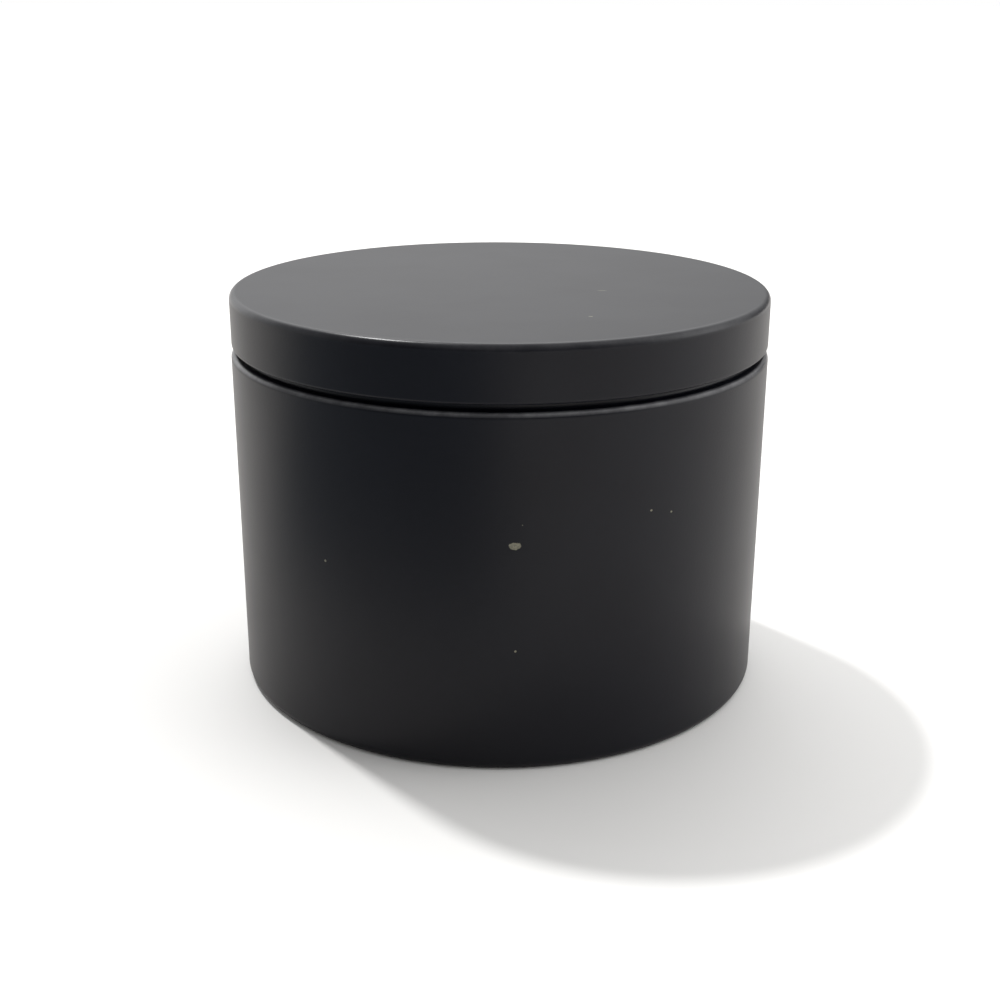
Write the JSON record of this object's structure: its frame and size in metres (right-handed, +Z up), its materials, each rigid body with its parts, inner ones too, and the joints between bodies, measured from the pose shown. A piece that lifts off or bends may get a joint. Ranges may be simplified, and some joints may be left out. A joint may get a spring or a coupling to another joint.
{
  "type": "candle tin",
  "caption": "Round drawn tin with a slip-over lid, holding a poured candle with a braided wick, its sustainer disc and its sticker.",
  "frame": {"origin": "centre of the base, on the surface that the tin stands on", "axes": "+Z up, along the axis of the tin and the way the lid lifts off; +X and +Y are free, because the tin is round"},
  "size_m": [0.0782, 0.0782, 0.058],
  "materials": {
    "black_tinplate": "matte black powder-like lacquer on tinplate",
    "sticker": "foam adhesive",
    "sustainer_steel": "tinned steel",
    "wick_cotton": "braided cotton, waxed",
    "wax": "satin soft wax"
  },
  "bodies": {
    "tin": {"tin_body": "black_tinplate", "wick_sticker": "sticker", "wick_sustainer": "sustainer_steel", "wick": "wick_cotton", "wax_fill": "wax"},
    "lid": {"lid": "black_tinplate"}
  },
  "joints": [
    {"name": "lid_lift", "type": "slide", "parent": "tin", "child": "lid", "axis": [0, 0, 1], "range_m": [0, 0.045]}
  ]
}
